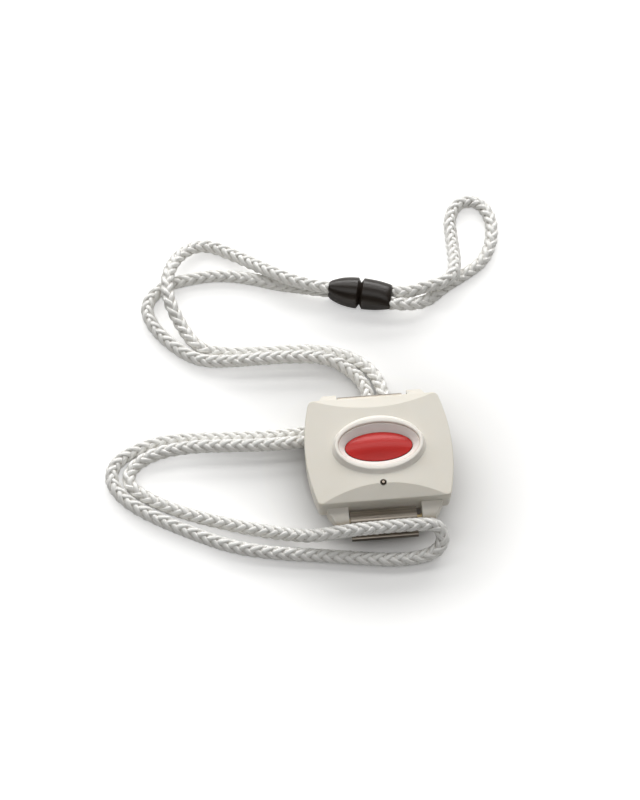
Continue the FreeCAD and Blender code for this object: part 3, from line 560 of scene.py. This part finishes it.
@dataclass(frozen=True)
class YarnFinish:
    """White braided yarn: parallel fibres with a soft sheen, with painted shade down between the yarns."""

    name: str = "white_braid"
    light: Colour = (0.96, 0.95, 0.915)
    dark: Colour = (0.90, 0.885, 0.84)
    # Painted shade down between the yarns, where they stand close.
    gap_shade: Colour = (0.5, 0.45, 0.38)
    gap_shade_reach: float = 0.0006
    gap_shade_strength: float = 0.6
    fibres_across: float = 9.0
    fibre_run: float = 350.0
    fibre_detail: float = 2.0
    fibre_edges: tuple[float, float] = (0.3, 0.7)
    fibre_height: float = 0.00006
    relief_strength: float = 0.5
    roughness: tuple[float, float] = (0.22, 0.36)
    specular: float = 0.6
    coat: float = 0.75
    coat_roughness: float = 0.22
    sheen: float = 0.1
    sheen_roughness: float = 0.4

    def material(self, effects: SharedEffects) -> bpy.types.Material:
        """Builds the material from the place across and along each yarn, which its mesh carries.

        Args:
            effects: the shader groups that finishes share.

        Returns:
            The new material.
        """
        material, sheet, surface = new_surface(self.name)
        across = sheet.add("ShaderNodeAttribute", attribute_name="across").outputs["Fac"]
        along = sheet.add("ShaderNodeAttribute", attribute_name="along").outputs["Fac"]
        place = sheet.add("ShaderNodeCombineXYZ")
        sheet.join(sheet.maths("MULTIPLY", across, self.fibres_across), place.inputs["X"])
        sheet.join(sheet.maths("MULTIPLY", along, self.fibre_run), place.inputs["Y"])
        fibres = sheet.add("ShaderNodeTexNoise")
        sheet.join(place.outputs[0], fibres.inputs["Vector"])
        sheet.put(fibres, "Scale", 1.0)
        sheet.put(fibres, "Detail", self.fibre_detail)
        tone = sheet.spread(fibres.outputs["Fac"], *self.fibre_edges)
        # Painted shade: the yarn's colour darkens where the yarns stand close.
        crevice = sheet.add("ShaderNodeGroup", node_tree=effects.crevice)
        sheet.join(sheet.blend(tone, self.dark, self.light), crevice.inputs["Clean"])
        sheet.put(crevice, "Shade And Soil", (*self.gap_shade, 1))
        sheet.put(crevice, "Reach", self.gap_shade_reach)
        sheet.put(crevice, "Strength", self.gap_shade_strength)
        sheet.join(crevice.outputs["Color"], surface.inputs["Base Color"])
        gloss = sheet.spread(fibres.outputs["Fac"], *self.fibre_edges, *self.roughness)
        sheet.join(gloss, surface.inputs["Roughness"])
        sheet.relief(fibres.outputs["Fac"], self.relief_strength, self.fibre_height, surface)
        for socket, value in (
            ("Specular IOR Level", self.specular), ("Coat Weight", self.coat),
            ("Coat Roughness", self.coat_roughness), ("Sheen Weight", self.sheen),
            ("Sheen Roughness", self.sheen_roughness),
        ):
            sheet.put(surface, socket, value)
        return material


@dataclass
class OvalRim:
    """The raised rim round the button, its outer side eased into the face as the moulding's is.

    The outline, the crest and the foot are half sizes of upright ovals.
    """

    name: str = "eased_rim"
    node: str = "button_rim"
    body: Body = Body.HOUSING
    outline: tuple[float, float] = (0.01415, 0.0096)
    crest: tuple[float, float] = (0.0131, 0.00885)
    foot: tuple[float, float] = (0.0143, 0.0103)
    bend: float = 0.7
    crest_share: float = 0.93
    rise: float = 0.001
    face_rise: float = 0.00175
    arch_half: float = 0.01895
    buried: float = 0.0001
    merge: float = 0.0000002
    crease: float = 0.6

    def build(self, frame: dict, finish: bpy.types.Material) -> bpy.types.Object:
        """Builds the rim from the solid's own mesh.

        Args:
            finish: the rim's material.

        Returns:
            The rim's object.
        """
        mesh = frame["nodes"][self.node].data.copy()
        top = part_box(self.node)[1].z
        for vertex in mesh.vertices:
            vertex.co = self._eased(vertex.co, top)
        shape = bmesh.new()
        shape.from_mesh(mesh)
        bmesh.ops.remove_doubles(shape, verts=shape.verts, dist=self.merge)
        shape.to_mesh(mesh)
        shape.free()
        mesh.attributes.remove(mesh.attributes["custom_normal"])
        mesh.shade_smooth()
        mesh.set_sharp_from_angle(angle=self.crease)
        mesh.materials.clear()
        mesh.materials.append(finish)
        rim = bpy.data.objects.new(self.name, mesh)
        bpy.context.scene.collection.objects.link(rim)
        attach(rim, self.body.value)
        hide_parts(self.node)
        LOG.info("%s: %d faces", self.name, len(mesh.polygons))
        return rim

    def _eased(self, point: Vector, top: float) -> Vector:
        """Moves a point of the outer side onto a gentler slope at its own height.

        Args:
            point: the point on the solid.
            top: height of the crest.

        Returns:
            The point's new place.
        """
        across, along = point.x / self.outline[0], point.y / self.outline[1]
        reach = math.hypot(across, along)
        ground = top - self.rise - self.face_rise * (point.x / self.arch_half) ** 2
        if reach < self.crest_share or point.z < ground - self.buried:
            return point
        fall = min(1.0, max(0.0, (top - point.z) / (top - ground)))
        # Where a smooth step from 0 to 1 has fallen by that share.
        curved = 0.5 - math.sin(math.asin(1 - 2 * fall) / 3)
        share = fall + (curved - fall) * self.bend
        half = [crest + (foot - crest) * share for crest, foot in zip(self.crest, self.foot)]
        return Vector((half[0] * across / reach, half[1] * along / reach, point.z))


@dataclass
class RouteLine:
    """Smooth centreline of a cord, from the route's points."""

    points: list[Point]
    steps_per_point: int = 24

    def read(self) -> np.ndarray:
        """Reads the smooth line that the route's points control.

        Returns:
            The line's points in metres, one row each.
        """
        curve = bpy.data.curves.new("route", "CURVE")
        curve.dimensions = "3D"
        curve.resolution_u = self.steps_per_point
        spline = curve.splines.new("NURBS")
        spline.points.add(len(self.points) - 1)
        for control, point in zip(spline.points, self.points):
            control.co = (*(MILLIMETRE * value for value in point), 1.0)
        spline.order_u = 3
        spline.use_endpoint_u = True
        carrier = bpy.data.objects.new("route", curve)
        bpy.context.scene.collection.objects.link(carrier)
        mesh = bpy.data.meshes.new_from_object(carrier)
        line = np.array([vertex.co for vertex in mesh.vertices], float)
        bpy.data.objects.remove(carrier)
        bpy.data.meshes.remove(mesh)
        bpy.data.curves.remove(curve)
        return line


@dataclass
class BraidedCord:
    """Round braid of eight flat yarns, four each way, each passing over two and under two."""

    name: str
    node: str
    body: Body
    route: list[Point]
    exit: Point
    diameter: float = 0.0042
    girth: float = 0.0045
    stitch: float = 0.00335
    yarns_each_way: int = 4
    yarn_half_width: float = 0.00085
    yarn_half_thick: float = 0.0006
    weave_depth: float = 0.00032
    weave_ease: float = 0.75
    first_angle: float = math.pi / 8
    tone_shift: float = 2.7
    core_radius: float = 0.00145
    steps_per_stitch: int = 6
    ring_corners: int = 8
    drift: float = 0.2
    drift_length: float = 0.11
    facing: Point = (0.05, -0.45, 0.89)
    with_pieces: list[str] = field(default_factory=list)

    def build(self, finish: bpy.types.Material) -> bpy.types.Object:
        """Args:
            finish: the yarn's material.

        Returns:
            The cord's object.
        """
        line = RouteLine(self.route).read()
        steps = np.linalg.norm(np.diff(line, axis=0), axis=1)
        run = np.concatenate([[0.0], np.cumsum(steps)])
        length = float(run[-1])
        count = int(length / self.stitch * self.steps_per_stitch) + 1
        travel = np.linspace(0.0, length, count)
        centre = np.stack([np.interp(travel, run, line[:, axis]) for axis in range(3)], axis=1)
        forward, upward, sideways = self._frames(centre)
        mesh = self._yarn_mesh(travel, centre, forward, upward, sideways)
        mesh.materials.append(finish)
        cord = bpy.data.objects.new(self.name, mesh)
        bpy.context.scene.collection.objects.link(cord)
        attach(cord, self.body.value)
        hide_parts(self.node)
        LOG.info("%s: %.1f mm long, %d faces", self.name, length / MILLIMETRE, len(mesh.polygons))
        return cord

    def _frames(self, centre: np.ndarray) -> tuple[np.ndarray, np.ndarray, np.ndarray]:
        """Works out the directions along, up from and beside the centreline.

        Args:
            centre: the centreline's points.

        Returns:
            Unit vectors forward, upward and sideways at each point.
        """
        forward = np.gradient(centre, axis=0)
        forward /= np.linalg.norm(forward, axis=1, keepdims=True)
        up = np.array(self.facing) / np.linalg.norm(self.facing)
        upward = up - forward * (forward @ up)[:, None]
        upward /= np.linalg.norm(upward, axis=1, keepdims=True)
        return forward, upward, np.cross(forward, upward)

    def _yarn_mesh(self, travel: np.ndarray, centre: np.ndarray, forward: np.ndarray,
                   upward: np.ndarray, sideways: np.ndarray) -> bpy.types.Mesh:
        """Lays every yarn along its wound path as one closed tube.

        Args:
            travel: distance along the cord at each station.
            centre: centreline point at each station.
            forward: direction along the cord; not used.
            upward: direction that a stitch's point faces.
            sideways: the third direction.

        Returns:
            The mesh of all yarns.
        """
        turn = 2 * math.pi * travel / (self.stitch * self.yarns_each_way)
        lean = self.drift * np.sin(2 * math.pi * travel / self.drift_length)
        middle = self.girth / 2 - self.yarn_half_thick - self.weave_depth
        tubes = [(centre, upward, self.core_radius, self.core_radius)]
        for way in (1, -1):
            for index in range(self.yarns_each_way):
                angle = way * turn + index * 2 * math.pi / self.yarns_each_way + self.first_angle
                rise = -way * np.sin(2 * angle)
                rise = np.sign(rise) * np.abs(rise) ** self.weave_ease
                shown = (angle + lean)[:, None]
                outward = np.cos(shown) * upward + np.sin(shown) * sideways
                path = centre + (middle + self.weave_depth * rise)[:, None] * outward
                tubes.append((path, outward, self.yarn_half_width, self.yarn_half_thick))
        corners = 2 * math.pi * (np.arange(self.ring_corners) + 0.5) / self.ring_corners
        aside, above = np.cos(corners), np.sin(corners)
        vertices, faces, across = [], [], []
        for order, (path, outward, half_width, half_thick) in enumerate(tubes):
            heading = np.gradient(path, axis=0)
            beside = np.cross(heading, outward)
            beside /= np.linalg.norm(beside, axis=1, keepdims=True)
            normal = np.cross(beside, heading)
            normal /= np.linalg.norm(normal, axis=1, keepdims=True)
            ring = (path[:, None, :]
                    + half_width * aside[None, :, None] * beside[:, None, :]
                    + half_thick * above[None, :, None] * normal[:, None, :])
            faces += self._tube_faces(len(path), order * len(path) * self.ring_corners)
            vertices.append(ring.reshape(-1, 3))
            across.append(np.tile(aside, len(path)) + self.tone_shift * order)
        mesh = bpy.data.meshes.new(self.name)
        mesh.from_pydata(np.concatenate(vertices).tolist(), [], faces)
        mesh.shade_smooth()
        along = np.tile(np.repeat(travel, self.ring_corners), len(tubes))
        for name, values in (("across", np.concatenate(across)), ("along", along)):
            attribute = mesh.attributes.new(name, "FLOAT", "POINT")
            attribute.data.foreach_set("value", values.astype(np.float32))
        return mesh

    def _tube_faces(self, stations: int, start: int) -> list[tuple[int, ...]]:
        """Lists the faces of one yarn, with both of its ends closed.

        Args:
            stations: number of rings.
            start: index of the first vertex.

        Returns:
            Tuples of vertex indices.
        """
        corners = self.ring_corners
        found: list[tuple[int, ...]] = []
        for station in range(stations - 1):
            low = start + station * corners
            for corner in range(corners):
                beside = (corner + 1) % corners
                found.append((low + corner, low + beside, low + corners + beside, low + corners + corner))
        last = start + (stations - 1) * corners
        found.append(tuple(start + corner for corner in reversed(range(corners))))
        found.append(tuple(last + corner for corner in range(corners)))
        return found


@dataclass(frozen=True)
class Lamp:
    """One soft area lamp: its place, its width and height, and its power in watts."""

    name: str
    place: Point
    size: tuple[float, float]
    power: float
    aim: Point = (-0.01, 0.02, 0.0)

    def light(self) -> None:
        """Adds the lamp, turned to the object."""
        data = bpy.data.lights.new(self.name, "AREA")
        data.shape = "RECTANGLE"
        data.size, data.size_y = self.size
        data.energy = self.power
        lamp = bpy.data.objects.new(self.name, data)
        lamp.location = self.place
        heading = Vector(self.aim) - Vector(self.place)
        lamp.rotation_euler = heading.to_track_quat("-Z", "Y").to_euler()
        bpy.context.scene.collection.objects.link(lamp)


@dataclass
class Studio:
    """Camera at the photograph's angle, pale floor and soft light.

    The floor has a painted shadow: its colour is dark under the housing, within the painted shadow radius,
    and its own glow is held low near the object, which paints the floor round it darker. Towards the white
    radius the glow rises, so that it shows as a white ground that still takes the object's shadow. The camera
    and clear pieces see this glow, and glossy surfaces don't: they mirror the floor as the lamps light it.
    """

    camera_place: Point = (-0.04939, -0.34774, 0.60394)
    camera_pitch: float = 31.95
    camera_turn: float = -5.19
    lens: float = 102.25
    sensor: float = 36.0
    floor_half: float = 1.6
    floor_drop: float = 0.00004
    floor_roughness: float = 0.9
    floor_specular: float = 0.1
    tone: Colour = (0.85, 0.845, 0.83)
    painted_shadow_tone: Colour = (0.22, 0.18, 0.145)
    painted_shadow_radius: float = 0.0185
    painted_shadow_edge: float = 0.0235
    white_radius: float = 0.06
    painted_shadow_glow: float = 0.02
    glow: float = 0.45
    surround: Colour = (1.0, 0.99, 0.97)
    surround_strength: float = 0.02
    lamps: tuple[Lamp, ...] = (
        Lamp("back_low", (0.0, 1.05, 0.56), (2.3, 0.45), 15.2),
        Lamp("back_high", (0.0, 0.61, 0.97), (2.2, 0.4), 6.4),
        Lamp("front_top", (0.0, -0.18, 1.13), (2.0, 0.35), 2.0),
        Lamp("front_high", (0.0, -0.48, 1.04), (2.0, 0.3), 2.6),
    )

    def camera(self) -> None:
        """Adds the camera and makes it the scene's own."""
        data = bpy.data.cameras.new("camera")
        data.lens = self.lens
        data.sensor_width = self.sensor
        camera = bpy.data.objects.new("camera", data)
        camera.location = self.camera_place
        camera.rotation_euler = (math.radians(self.camera_pitch), 0.0, math.radians(self.camera_turn))
        bpy.context.scene.collection.objects.link(camera)
        bpy.context.scene.camera = camera

    def floor(self) -> None:
        """Adds the pale floor, which keeps the object's shadow and has a painted shadow round the housing."""
        half = self.floor_half
        corners = [(-half, -half, 0), (half, -half, 0), (half, half, 0), (-half, half, 0)]
        mesh = bpy.data.meshes.new("floor")
        mesh.from_pydata(corners, [], [(0, 1, 2, 3)])
        floor = bpy.data.objects.new("floor", mesh)
        floor.location = (0, 0, -self.floor_drop)
        bpy.context.scene.collection.objects.link(floor)
        material, sheet, surface = new_surface("pale_floor")
        sheet.put(surface, "Roughness", self.floor_roughness)
        sheet.put(surface, "Specular IOR Level", self.floor_specular)
        rays = sheet.add("ShaderNodeLightPath")
        seen = sheet.maths("MAXIMUM", rays.outputs["Is Camera Ray"], rays.outputs["Is Transmission Ray"])
        reach = sheet.add("ShaderNodeVectorMath", operation="LENGTH")
        sheet.join(sheet.own_place(), reach.inputs[0])
        # Painted shadow: the glow is held low near the object, so the floor there is darker than the far
        # floor.
        shown = sheet.spread(reach.outputs["Value"], self.painted_shadow_edge, self.white_radius,
                             self.painted_shadow_glow, self.glow)
        # Painted shadow: the floor's colour is dark under the housing and fades to its pale tone further out.
        clear = sheet.spread(reach.outputs["Value"], self.painted_shadow_radius, self.painted_shadow_edge)
        sheet.join(sheet.blend(clear, self.painted_shadow_tone, self.tone), surface.inputs["Base Color"])
        sheet.put(surface, "Emission Color", (1, 1, 1, 1))
        sheet.join(sheet.maths("MULTIPLY", seen, shown), surface.inputs["Emission Strength"])
        mesh.materials.append(material)

    def world(self) -> None:
        """Adds an even, pale surround."""
        world = bpy.data.worlds.new("surround")
        world.use_nodes = True
        back = world.node_tree.nodes["Background"]
        back.inputs["Color"].default_value = (*self.surround, 1)
        back.inputs["Strength"].default_value = self.surround_strength
        bpy.context.scene.world = world

    def light(self) -> None:
        """Adds the soft lamps: two behind the object and two above its front."""
        for lamp in self.lamps:
            lamp.light()


@dataclass(frozen=True)
class ConnectorPlace:
    """Where the breakaway connector lies, for the straight ends of both cords, in millimetres.

    The neck cord's ends lie one over the other in the socket, the loop cord's side by side in the plug.
    """

    centre: Point = (0.85, 63.15, 5.0)
    turn: float = -13.7
    half: float = 10.0
    neck_lead: float = 7.5
    neck_aside: float = 0.735
    neck_rise: float = 2.02
    loop_lead: float = 4.5
    loop_aside: float = 2.3

    def at(self, along: float, aside: float, up: float) -> Point:
        """Finds a point that is given in the connector's own directions.

        Args:
            along: distance along its axis from the middle.
            aside: distance across it.
            up: distance above its axis.

        Returns:
            The point in the object's frame.
        """
        heading = math.radians(self.turn)
        return (
            self.centre[0] + along * math.cos(heading) - aside * math.sin(heading),
            self.centre[1] + along * math.sin(heading) + aside * math.cos(heading),
            self.centre[2] + up,
        )

    def neck_end(self, side: int) -> list[Point]:
        """Gives the straight end of the neck cord at the socket.

        Args:
            side: -1 for the upper end, 1 for the lower one.

        Returns:
            The point at the mouth and the point where the straight run ends.
        """
        return [self.at(-self.half - lead, side * self.neck_aside, -side * self.neck_rise)
                for lead in (0.0, self.neck_lead)]

    def loop_end(self, side: int) -> list[Point]:
        """Gives the straight end of the loop cord at the plug.

        Args:
            side: 1 for the far end, -1 for the near one.

        Returns:
            The point at the mouth and the point where the straight run ends.
        """
        return [self.at(self.half + lead, side * self.loop_aside, 0.0) for lead in (0.0, self.loop_lead)]


CONNECTOR = ConnectorPlace()

# Points that steer each cord's smooth middle line, in millimetres, as in the part's source. The neck cord
# runs from the socket's upper mouth under the housing, round over the clip's hooked end, and the same way
# back to the lower mouth.
NECK_ROUTE: list[Point] = [
    *CONNECTOR.neck_end(-1),
    (-26, 71.9, 7.0), (-36.5, 82.3, 2.6), (-47.6, 89.4, 2.15), (-55.9, 84.9, 3.9), (-60.5, 74.8, 6.6),
    (-60.7, 66.0, 6.4), (-57.1, 57.4, 2.8), (-52.2, 48.6, 2.15), (-43.5, 45.8, 2.15), (-31.1, 45.3, 2.15),
    (-19.1, 45.2, 2.15), (-8.0, 43.1, 2.15), (0.8, 37.2, 2.15), (4.6, 28.6, 2.15), (4.2, 19.5, 2.15),
    (-1.2, 12.9, 2.15), (-10.5, 10.6, 2.4), (-21.5, 10.3, 4.1), (-33, 10.0, 4.3), (-45, 10.8, 4.3),
    (-56.5, 11.5, 4.3), (-67.2, 10.6, 3.7), (-75.1, 7.2, 2.15), (-76.9, 1.3, 2.15), (-70.9, -4.5, 2.15),
    (-61.1, -10.1, 2.15), (-49.3, -14.7, 2.15), (-38.3, -18.3, 2.15), (-28.8, -21.1, 2.9),
    (-21.6, -24.4, 6.7), (-12.8, -25.0, 9.7), (0, -24.8, 9.9), (9.8, -24.8, 9.9), (15.7, -25.0, 8.9),
    (17.0, -28.8, 4.4), (12.6, -31.6, 2.15), (3, -32.3, 2.15), (-8, -30.7, 2.15), (-20, -28.6, 2.15),
    (-33, -26.8, 2.15), (-46, -23.6, 2.15), (-57.5, -17.9, 2.15), (-69.3, -11.1, 2.15),
    (-77.4, -4.9, 2.15), (-81.9, 2.0, 2.15), (-80.6, 8.5, 2.15), (-73.7, 13.2, 2.15), (-63, 15.9, 2.15),
    (-50, 15.0, 2.15), (-38.5, 14.4, 2.15), (-27, 14.2, 2.15), (-16.5, 15.0, 2.15), (-6.9, 15.4, 2.15),
    (-0.9, 20.6, 2.15), (-0.4, 29.0, 2.15), (-4.6, 35.8, 2.6), (-12.3, 40.4, 4.2), (-21.6, 41.3, 4.5),
    (-31.5, 41.6, 4.5), (-42, 41.6, 4.1), (-52.7, 43.8, 2.3), (-61.1, 51.3, 2.15), (-66.4, 58.9, 2.15),
    (-68.1, 66.9, 2.15), (-61.8, 73.6, 2.15), (-53.5, 75.7, 2.15), (-43.5, 76.4, 2.15),
    (-33.2, 74.0, 2.15), (-25.4, 70.9, 2.15),
    *reversed(CONNECTOR.neck_end(1)),
]

LOOP_ROUTE: list[Point] = [
    *CONNECTOR.loop_end(1),
    (22.0, 63.2, 6.2), (27.6, 63.5, 7.0), (32.2, 67.8, 6.7), (32.9, 82.7, 2.15), (32.9, 92.3, 2.15),
    (37.1, 98.8, 2.15), (43.9, 98.2, 2.15), (46.8, 91.3, 2.15), (46.2, 82.6, 2.15), (42.5, 74.4, 2.15),
    (35.8, 69.6, 2.15), (27.9, 65.0, 2.15), (21.8, 59.4, 2.6),
    *reversed(CONNECTOR.loop_end(-1)),
]


@dataclass(frozen=True)
class SubAssembly:
    """Solid pieces that go together on the bench, each with its finish."""

    name: str
    pieces: dict[str, str]

    def dress(self, frame: dict, materials: dict[str, bpy.types.Material]) -> None:
        """Gives each piece its finish.

        Args:
            materials: the finishes' materials, by name.
        """
        for node, finish in self.pieces.items():
            piece = frame["nodes"][node]
            piece.data.materials.clear()
            piece.data.materials.append(materials[finish])
            LOG.info("%s: %s has the finish %s", self.name, node, materials[finish].name)


SUB_ASSEMBLIES: tuple[SubAssembly, ...] = (
    SubAssembly("shells", {"front_cover": "housing", "rear_case": "case", "button_rim": "rim",
                           "case_gasket": "gasket", "case_screws": "screw"}),
    SubAssembly("push button", {"button": "button", "button_pad": "pad", "switch_body": "switch",
                                "switch_plunger": "switch"}),
    SubAssembly("board", {"circuit_board": "board", "radio_can": "can", "controller_chip": "chip",
                          "crystal": "can", "antenna": "contact"}),
    SubAssembly("cell", {"coin_cell": "cell", "battery_contact_plus": "contact",
                         "battery_contact_minus": "contact"}),
    SubAssembly("lamp", {"light_pipe": "lamp", "status_led": "diode"}),
    SubAssembly("clip", {"belt_clip": "clip", "spring_bar_near": "bar", "spring_bar_far": "bar",
                         "bar_tip_near_left": "tip", "bar_tip_near_right": "tip",
                         "bar_tip_far_left": "tip", "bar_tip_far_right": "tip"}),
    SubAssembly("connector", {"connector_socket": "connector", "connector_plug": "connector"}),
)


class PanicButton:
    """Dresses the solid pieces and builds the rim and the cords."""

    def __init__(self, frame: dict) -> None:
        """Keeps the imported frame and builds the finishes.
        """
        self.frame = frame
        effects = SharedEffects()
        self.materials = {name: finish.material(effects) for name, finish in FINISHES.items()}
        self.materials["lamp"] = LampFinish().material(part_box("light_pipe"))
        self.materials["braid"] = YarnFinish().material(effects)

    def cords(self) -> None:
        """Builds both cords, which start at the connector's mouths."""
        neck_exit, loop_exit = (tuple(MILLIMETRE * value for value in route[0])
                                for route in (NECK_ROUTE, LOOP_ROUTE))
        neck = BraidedCord("neck_braid", "neck_cord", Body.HOUSING, NECK_ROUTE, neck_exit,
                           with_pieces=["connector_socket", "connector_plug"])
        loop = BraidedCord("loop_braid", "loop_cord", Body.PLUG, LOOP_ROUTE, loop_exit,
                           with_pieces=["connector_plug"])
        for cord in (neck, loop):
            cord.build(self.materials["braid"])

    def dress(self) -> None:
        """Dresses every sub-assembly and sets the eased rim in its place."""
        for group in SUB_ASSEMBLIES:
            group.dress(self.frame, self.materials)
        OvalRim().build(self.frame, self.materials["rim"])


def main() -> None:
    """Builds the whole scene."""
    logging.basicConfig(level=logging.INFO)
    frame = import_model()
    studio = Studio()
    studio.camera()
    alarm = PanicButton(frame)
    alarm.cords()
    alarm.dress()
    studio.floor()
    studio.world()
    studio.light()
    bpy.context.scene.view_settings.view_transform = "Standard"


if __name__ == "__main__":
    main()
